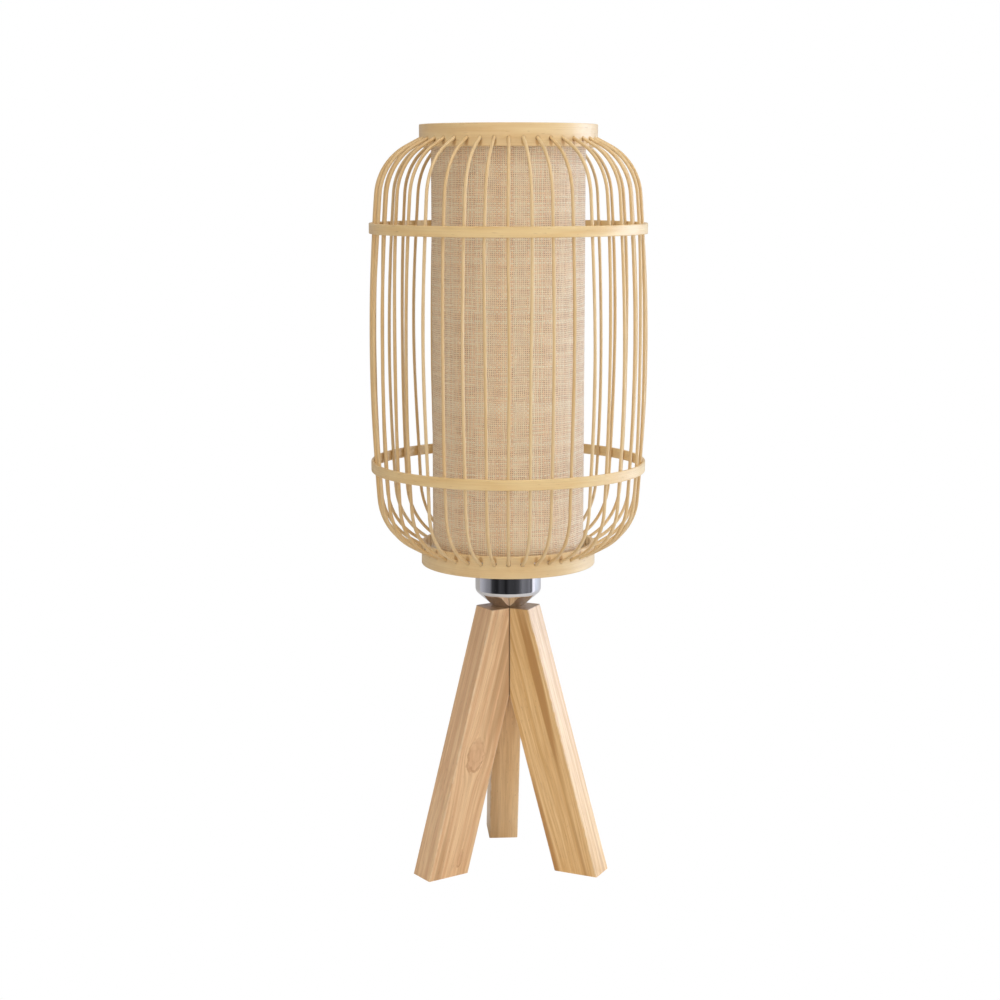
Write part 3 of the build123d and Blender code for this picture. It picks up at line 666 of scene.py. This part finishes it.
# Colour, second colour, grain in mm, roughness from and to, bump in mm, metallic, and nodes.
PLAIN_FINISHES = {
    "dowel_wood": ((0.78, 0.60, 0.38), (0.66, 0.47, 0.27), 0.8, (0.5, 0.65), 0.1, 0.0, ["mitre_dowels"]),
    "chrome": ((0.80, 0.80, 0.82), (0.76, 0.76, 0.79), 4.0, (0.03, 0.07), 0.006, 1.0, ["chrome_cup"]),
    "zinc_steel": (
        (0.62, 0.63, 0.65), (0.50, 0.51, 0.54), 0.5, (0.28, 0.42), 0.03, 1.0,
        ["mount_tube", "tube_washer", "tube_nut", "cup_nut", "terminal_screws"]
        + ["shade_bottom_ring", "shade_top_ring"],
    ),
    "fitter_steel": (
        (0.82, 0.81, 0.78), (0.76, 0.75, 0.72), 0.4, (0.38, 0.5), 0.05, 0.0, ["fitter_plate", "fitter_arms"],
    ),
    "grommet_rubber": (
        (0.035, 0.035, 0.036), (0.05, 0.05, 0.05), 0.5, (0.6, 0.75), 0.04, 0.0, ["cord_grommet"],
    ),
    "holder_plastic": (
        (0.030, 0.030, 0.032), (0.045, 0.044, 0.045), 0.6, (0.32, 0.45), 0.03, 0.0,
        ["holder_base", "holder_skirt"],
    ),
    "ring_plastic": ((0.034, 0.034, 0.036), (0.05, 0.05, 0.05), 0.6, (0.38, 0.5), 0.04, 0.0, ["lock_ring"]),
    "brass": (
        (0.80, 0.58, 0.26), (0.66, 0.46, 0.20), 0.8, (0.22, 0.38), 0.02, 1.0,
        ["screw_shell", "centre_contact", "side_contact"],
    ),
    "cap_metal": ((0.78, 0.77, 0.74), (0.68, 0.67, 0.65), 0.8, (0.22, 0.36), 0.02, 1.0, ["bulb_cap"]),
    "black_glass": (
        (0.012, 0.012, 0.014), (0.02, 0.02, 0.022), 3.0, (0.08, 0.15), 0.02, 0.0, ["bulb_insulator"],
    ),
    "solder": ((0.66, 0.66, 0.66), (0.52, 0.52, 0.53), 1.2, (0.3, 0.5), 0.1, 1.0, ["bulb_tip"]),
    "wire_nickel": ((0.62, 0.61, 0.58), (0.5, 0.49, 0.47), 0.4, (0.25, 0.4), 0.01, 1.0, ["filament_wires"]),
    "filament_phosphor": (
        (0.88, 0.62, 0.14), (0.82, 0.54, 0.10), 0.5, (0.6, 0.75), 0.04, 0.0, ["filaments"],
    ),
    "liner_film": ((0.88, 0.85, 0.78), (0.84, 0.80, 0.72), 1.5, (0.45, 0.6), 0.03, 0.0, ["shade_liner"]),
}
for slot, (colour, accent, grain, roughness, bump, metallic, names) in PLAIN_FINISHES.items():
    seed = RING_SEED if slot == "ring_plastic" else 0.0
    colours = rgb(*colour), rgb(*accent)
    dress(plain_finish(slot, *colours, grain * MM, roughness, bump * MM, metallic, seed), slot, *names)
dress(clear_glass(), "bulb_glass", "bulb_glass", "bulb_stem")


# ---- Bamboo ribs --------------------------------------------------------------------
hoop_edge = (HOOP_SPACING - HOOP_HEIGHT) / 2
bow_r = (hoop_edge**2 + RIB_BOW**2) / (2 * RIB_BOW)
rib_mid_r = HOOP_R - HOOP_WALL - RIB_GAP - RIB_R + RIB_BOW
bow_angle = asin((HOOP_SPACING / 2 + SHOULDER_START) / bow_r)
shoulder_x = rib_mid_r - bow_r + (bow_r - SHOULDER_R) * cos(bow_angle)
shoulder_y = (bow_r - SHOULDER_R) * sin(bow_angle)
entry_y = (CAGE_HEIGHT - RIM_HEIGHT) / 2 + RIB_ENTRY
reach = hypot(RIM_R - shoulder_x, entry_y - shoulder_y)
entry_angle = atan2(entry_y - shoulder_y, RIM_R - shoulder_x) - acos(SHOULDER_R / reach)
straight = sqrt(reach**2 - SHOULDER_R**2)
tip_run = (RIM_WALL - RIB_TIP_INSET) / sin(entry_angle)


def bend_round(place, heading, radius, turn, steps):
    """Spin the open end to the left round a bend in the plane y = 0, and return its new place and heading."""
    centre = place + radius * Vector((-sin(heading), 0.0, cos(heading)))
    bpy.ops.mesh.spin(steps=steps, angle=turn, center=centre, axis=(0.0, 1.0, 0.0))
    heading += turn
    return centre + radius * Vector((sin(heading), 0.0, -cos(heading))), heading


def run_straight(place, heading, length, steps):
    """Draw the open end out straight, and return its new place and heading."""
    step = Vector((cos(heading), 0.0, sin(heading))) * (length / steps)
    for _ in range(steps):
        bpy.ops.mesh.extrude_edges_move(TRANSFORM_OT_translate={"value": step})
        place = place + step
    return place, heading


def model_rib():
    """One rib in the plane y = 0, from tip to tip."""
    clear_selection()
    tip_x = RIM_R - tip_run * sin(entry_angle)
    start = Vector((tip_x, 0.0, CAGE_MID - entry_y - tip_run * cos(entry_angle)))
    bpy.ops.mesh.primitive_circle_add(
        vertices=RIB_SIDES,
        radius=RIB_R,
        fill_type="NOTHING",
        location=start,
        rotation=(0.0, entry_angle, 0.0),
    )
    rib = settle("cane_rib")
    choose(rib, lambda place: True)
    place, heading = start, pi / 2 - entry_angle
    shoulder_turn = entry_angle - bow_angle
    place, heading = run_straight(place, heading, tip_run + straight, 4)
    place, heading = bend_round(place, heading, SHOULDER_R, shoulder_turn, 12)
    place, heading = bend_round(place, heading, bow_r, 2 * bow_angle, 30)
    place, heading = bend_round(place, heading, SHOULDER_R, shoulder_turn, 12)
    place, heading = run_straight(place, heading, tip_run + straight, 4)
    for tip in (place, start):
        choose(rib, lambda point: (point - tip).length < RIB_R * 1.05)
        bpy.ops.mesh.extrude_edges_move(TRANSFORM_OT_translate={"value": (0.0, 0.0, 0.0)})
        bpy.ops.transform.resize(value=(0.8, 0.8, 0.8), center_override=tip)
        bpy.ops.mesh.edge_face_add()
    bpy.ops.object.mode_set(mode="OBJECT")
    face_outwards(rib)
    return rib


def wander(rib, tone):
    """Hand-made unevenness: the rib sways a little between its holes, and swells and thins."""
    ways = [dice.uniform(-1.0, 1.0) for _ in range(4)]
    seed = dice.uniform(0.0, 100.0)
    low = CAGE_MID - CAGE_HEIGHT / 2 + RIM_HEIGHT
    high = CAGE_MID + CAGE_HEIGHT / 2 - RIM_HEIGHT
    hoop_low = CAGE_MID - HOOP_SPACING / 2 + HOOP_HEIGHT / 2
    hoop_high = CAGE_MID + HOOP_SPACING / 2 - HOOP_HEIGHT / 2
    for point in rib.data.vertices:
        share = min(max((point.co.z - low) / (high - low), 0.0), 1.0)
        sway = ways[0] * sin(pi * share) + 0.6 * ways[1] * sin(2 * pi * share)
        sway += 0.4 * ways[2] * sin(3 * pi * share)
        middle = min(max((point.co.z - hoop_low) / (hoop_high - hoop_low), 0.0), 1.0)
        swell = RIB_SWELL * noise.noise(Vector((seed, point.co.z * 40.0, 0.0)))
        point.co += point.normal * RIB_R * swell
        point.co.y += RIB_SWAY * sway
        point.co.x += RIB_BELLY * ways[3] * sin(pi * middle)
    field = rib.data.attributes.new("tone", "FLOAT", "POINT")
    for item in field.data:
        item.value = tone


cane = rib_bamboo()
master_rib = model_rib()
for pair in range(PAIR_COUNT):
    ribs = []
    for side in range(2):
        rib = copy_of(master_rib, f"cane_rib_{pair}_{side}")
        wander(rib, dice.random())
        rib.data.transform(Matrix.Rotation(tau * (2 * pair + side) / (2 * PAIR_COUNT), 4, "Z"))
        ribs.append(rib)
    clear_selection()
    for rib in ribs:
        rib.select_set(True)
    bpy.context.view_layer.objects.active = ribs[0]
    bpy.ops.object.join()
    cane_pair = ribs[0]
    cane_pair.name = cane_pair.data.name = f"cane_pair_{pair + 1:02d}"
    smooth(cane_pair, 50)
    cane_pair.data.materials.clear()
    cane_pair.data.materials.append(cane)
    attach(cane_pair, "shade")
    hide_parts(f"rib_pair_{pair + 1:02d}")
bpy.data.objects.remove(master_rib)


# ---- Linen shade: cloth wrapped over the liner and turned in round both wires --------
cloth_r = SHADE_R - CLOTH / 2
wire_axis_r = SHADE_R - CLOTH - LINER - 2 * WIRE_GAP - WIRE_R
turn_out = cloth_r - wire_axis_r
turn_in = WIRE_R + WIRE_GAP + CLOTH / 2
wire_low = SHADE_LOW + CLOTH / 2 + turn_in
wire_high = SHADE_TOP - CLOTH / 2 - turn_in
hem_r = SHADE_R - CLOTH - LINER - 2 * WIRE_GAP - CLOTH / 2
TURN_STEPS = 6
BODY_STEPS = 40


def hem_path(wire_height, upward):
    """From the hem's raw edge inside the shade, round the wire, to the wall outside."""
    path = [(hem_r, wire_height - upward * HEM_DEPTH), (hem_r, wire_height - upward * HEM_TURN)]
    for step in range(TURN_STEPS + 1):
        turn = pi * step / TURN_STEPS
        sideways = -cos(turn) * (turn_in if turn < pi / 2 else turn_out)
        path.append((wire_axis_r + sideways, wire_height + upward * turn_in * sin(turn)))
    return path


low_hem = hem_path(wire_low, -1)
high_hem = hem_path(wire_high, 1)
body = [(cloth_r, wire_low + (wire_high - wire_low) * step / BODY_STEPS) for step in range(1, BODY_STEPS)]
cloth_path = low_hem + body + high_hem[::-1]

clear_selection()
bpy.ops.mesh.primitive_circle_add(
    vertices=192, radius=cloth_path[0][0], fill_type="NOTHING", location=(0.0, 0.0, cloth_path[0][1])
)
shade_cloth = settle("shade_cloth")
choose(shade_cloth, lambda place: True)
for (r, z), (next_r, next_z) in zip(cloth_path, cloth_path[1:]):
    bpy.ops.mesh.extrude_edges_move(TRANSFORM_OT_translate={"value": (0.0, 0.0, next_z - z)})
    bpy.ops.transform.resize(value=(next_r / r, next_r / r, 1.0), center_override=(0.0, 0.0, next_z))
bpy.ops.object.mode_set(mode="OBJECT")
face_outwards(shade_cloth)
for point in shade_cloth.data.vertices:
    away = Vector((point.co.x, point.co.y, 0.0)).normalized()
    uneven = noise.noise(Vector((away.x * 2.2, away.y * 2.2, point.co.z * 9.0)))
    fine = noise.noise(Vector((away.x * 9.0, away.y * 9.0, point.co.z * 60.0)))
    point.co += away * (0.12 * uneven + 0.05 * fine) * MM


def on_seam(place):
    """On the outer wall at the back, clear of both wires."""
    at_back = abs(place.x) < SEAM_HALF and place.y > cloth_r - CLOTH
    return at_back and wire_low + 1 * MM < place.z < wire_high - 1 * MM


choose(shade_cloth, on_seam)
bpy.ops.mesh.duplicate()
bpy.ops.mesh.separate(type="SELECTED")
bpy.ops.object.mode_set(mode="OBJECT")
shade_seam = next(piece for piece in bpy.context.selected_objects if piece != shade_cloth)
shade_seam.name = shade_seam.data.name = "shade_seam"
for point in shade_seam.data.vertices:
    point.co += Vector((point.co.x, point.co.y, 0.0)).normalized() * (CLOTH / 2 + 0.3 * MM)
apply_modifier(shade_cloth, "SOLIDIFY", thickness=CLOTH, offset=0.0, use_even_offset=True)
apply_modifier(shade_seam, "SOLIDIFY", thickness=SEAM_CLOTH, offset=0.0)
apply_modifier(shade_seam, "BEVEL", width=0.15 * MM, segments=2, limit_method="ANGLE")

linen = woven_linen()
for piece in (shade_cloth, shade_seam):
    smooth(piece, 60)
    piece.data.materials.clear()
    piece.data.materials.append(linen)
    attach(piece, "shade")
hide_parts("shade_fabric")

# ---- Weld beads where the arms meet the fitter plate --------------------------------
ARM_ANGLES = (94.5, 214.5, 334.5)
BEAD_PLACE_R = 29.0 * MM
plate_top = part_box("fitter_plate")[1].z
fitter_steel = nodes["fitter_plate"].data.materials[0]
for index, angle in enumerate(ARM_ANGLES):
    clear_selection()
    out = Vector((cos(radians(angle)), sin(radians(angle)), 0.0))
    bead_place = out * BEAD_PLACE_R + Vector((0.0, 0.0, plate_top + 0.4 * MM))
    bpy.ops.mesh.primitive_ico_sphere_add(subdivisions=3, radius=1.0 * MM, location=bead_place)
    bpy.ops.transform.resize(value=(2.0, 2.0, 0.75))
    bead = settle(f"arm_weld_{index + 1}")
    for point in bead.data.vertices:
        lump = noise.noise(point.co * 900.0)
        point.co += (point.co - bead_place).normalized() * lump * 0.25 * MM
        point.co.z = max(point.co.z, plate_top + 0.02 * MM)
    smooth(bead, 60)
    bead.data.materials.append(fitter_steel)
    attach(bead, "shade")


# ---- Studio: pale floor, soft light, camera -----------------------------------------
def studio_white():
    """White to the camera, and a plain matt surface to light and reflections."""
    material = bpy.data.materials.new("studio_white")
    material.use_nodes = True
    tree = material.node_tree
    tree.nodes.clear()
    ray = add(tree, "ShaderNodeLightPath").outputs["Is Camera Ray"]
    matt = add(tree, "ShaderNodeBsdfDiffuse", {"Color": rgb(0.86, 0.86, 0.86)}).outputs[0]
    glow = add(tree, "ShaderNodeEmission", {"Color": rgb(1.0, 1.0, 1.0), "Strength": 1.0}).outputs[0]
    mixed = add(tree, "ShaderNodeMixShader", {0: ray, 1: matt, 2: glow}).outputs[0]
    feed(tree, add(tree, "ShaderNodeOutputMaterial").inputs["Surface"], mixed)
    return material


clear_selection()
bpy.ops.mesh.primitive_plane_add(size=12.0, location=(0.0, 0.0, -0.0005))
floor = settle("studio_floor")
floor.data.materials.append(studio_white())


SCREEN_NEAR, SCREEN_FAR = 0.45, 1.6
SCREEN_TONES = (
    (-118.0, 0.58), (-96.0, 0.42), (-80.0, 0.28), (-66.0, 0.22), (-58.0, 0.05), (-46.0, 0.022),
    (-38.0, 0.016), (-28.0, 0.05), (-16.0, 0.035), (-8.0, 0.012), (4.0, 0.05), (24.0, 0.045),
    (37.0, 0.07), (52.0, 0.23), (69.0, 0.17), (80.0, 0.24), (90.0, 0.10), (97.0, 1.15), (112.0, 1.2),
)


def build_dark_screen():
    """A screen on the floor that only reflections see.

    It gives the chrome its dark middle. Azimuth 0 is the camera's side, and the tones
    are (azimuth, brightness) round it.
    """
    clear_selection()
    bpy.ops.mesh.primitive_circle_add(
        vertices=90, radius=SCREEN_NEAR, fill_type="NOTHING", location=(0.0, 0.0, MM)
    )
    screen = settle("dark_screen")
    choose(screen, lambda place: True)
    bpy.ops.mesh.extrude_edges_move(TRANSFORM_OT_translate={"value": (0.0, 0.0, 0.0)})
    spread = SCREEN_FAR / SCREEN_NEAR
    bpy.ops.transform.resize(value=(spread, spread, 1.0), center_override=(0.0, 0.0, MM))
    first, last = SCREEN_TONES[0][0], SCREEN_TONES[-1][0]
    middle = radians((first + last) / 2)
    facing = Vector((sin(middle), -cos(middle), 0.0))
    edge = cos(radians((last - first) / 2))
    choose(screen, lambda place: Vector((place.x, place.y, 0.0)).normalized().dot(facing) < edge)
    bpy.ops.mesh.delete(type="VERT")
    bpy.ops.object.mode_set(mode="OBJECT")
    material = bpy.data.materials.new("dark_screen")
    material.use_nodes = True
    tree = material.node_tree
    tree.nodes.clear()
    in_degrees = {"Position": place_in(tree), "Radius": degrees(1.0)}
    azimuth = place_group(tree, around_axis, in_degrees)["Along"]
    ramp = add(tree, "ShaderNodeValToRGB", {"Fac": remap(tree, azimuth, first, last)})
    steps = ramp.color_ramp.elements
    while len(steps) < len(SCREEN_TONES):
        steps.new(1.0)
    for step, (where, tone) in zip(steps, SCREEN_TONES):
        step.position = (where - first) / (last - first)
        step.color = rgb(tone * 0.97, tone * 0.97, tone * 1.05)
    glow = add(tree, "ShaderNodeEmission", {"Color": ramp.outputs["Color"], "Strength": 1.0}).outputs[0]
    feed(tree, add(tree, "ShaderNodeOutputMaterial").inputs["Surface"], glow)
    screen.data.materials.append(material)
    screen.visible_camera = screen.visible_diffuse = screen.visible_shadow = False
    screen.visible_transmission = screen.visible_volume_scatter = False


build_dark_screen()

world = bpy.data.worlds.new("studio_air")
bpy.context.scene.world = world
world.use_nodes = True
air = world.node_tree
air.nodes.clear()
rays = add(air, "ShaderNodeLightPath").outputs
dim = add(air, "ShaderNodeBackground", {"Color": rgb(1.0, 0.91, 0.78), "Strength": 0.31}).outputs[0]
mirrored = add(air, "ShaderNodeBackground", {"Color": rgb(0.93, 0.93, 1.0), "Strength": 0.5}).outputs[0]
white = add(air, "ShaderNodeBackground", {"Color": rgb(1.0, 1.0, 1.0), "Strength": 1.0}).outputs[0]
unseen = add(air, "ShaderNodeMixShader", {0: rays["Is Glossy Ray"], 1: dim, 2: mirrored}).outputs[0]
both = add(air, "ShaderNodeMixShader", {0: rays["Is Camera Ray"], 1: unseen, 2: white}).outputs[0]
feed(air, add(air, "ShaderNodeOutputWorld").inputs["Surface"], both)


LIGHT_AIM = Vector((0.0, 0.0, 0.28))


def softbox(name, azimuth, elevation, distance, size, power, colour, gloss=True):
    """An area light at an azimuth to the right of the camera's side, aimed at the lamp's middle."""
    lamp = bpy.data.lights.new(name, "AREA")
    lamp.shape = "RECTANGLE"
    lamp.size, lamp.size_y = size
    lamp.energy = power
    lamp.color = colour
    turn, rise = radians(azimuth), radians(elevation)
    away = Vector((sin(turn) * cos(rise), -cos(turn) * cos(rise), sin(rise)))
    box = bpy.data.objects.new(name, lamp)
    box.location = LIGHT_AIM + away * distance
    box.rotation_euler = away.to_track_quat("Z", "Y").to_euler()
    box.visible_glossy = gloss
    bpy.context.scene.collection.objects.link(box)


softbox("right_softbox", 110.0, 8.0, 1.9, (1.3, 1.7), 25.0, (0.74, 0.92, 1.26))
softbox("top_softbox", 20.0, 68.0, 1.9, (1.4, 1.4), 13.0, (1.0, 0.95, 0.88))
softbox("right_front", 54.0, 8.0, 2.2, (0.8, 1.1), 11.0, (1.0, 0.97, 0.93), gloss=False)
softbox("left_front", -58.0, 8.0, 2.2, (0.8, 1.1), 3.2, (1.0, 0.85, 0.68), gloss=False)
softbox("front_fill", -15.0, 25.0, 2.6, (1.6, 1.6), 11.0, (1.0, 0.91, 0.77))

CAMERA_LENS = 69.67  # in mm
CAMERA_PLACE = (-0.006, -1.402, 0.512)
CAMERA_TILT = 80.39  # in degrees up from straight down
camera_data = bpy.data.cameras.new("camera")
camera_data.lens = CAMERA_LENS
camera_data.sensor_width = 36.0
camera = bpy.data.objects.new("camera", camera_data)
camera.location = CAMERA_PLACE
camera.rotation_euler = (radians(CAMERA_TILT), 0.0, 0.0)
bpy.context.scene.collection.objects.link(camera)
bpy.context.scene.camera = camera
bpy.context.scene.view_settings.view_transform = "Standard"
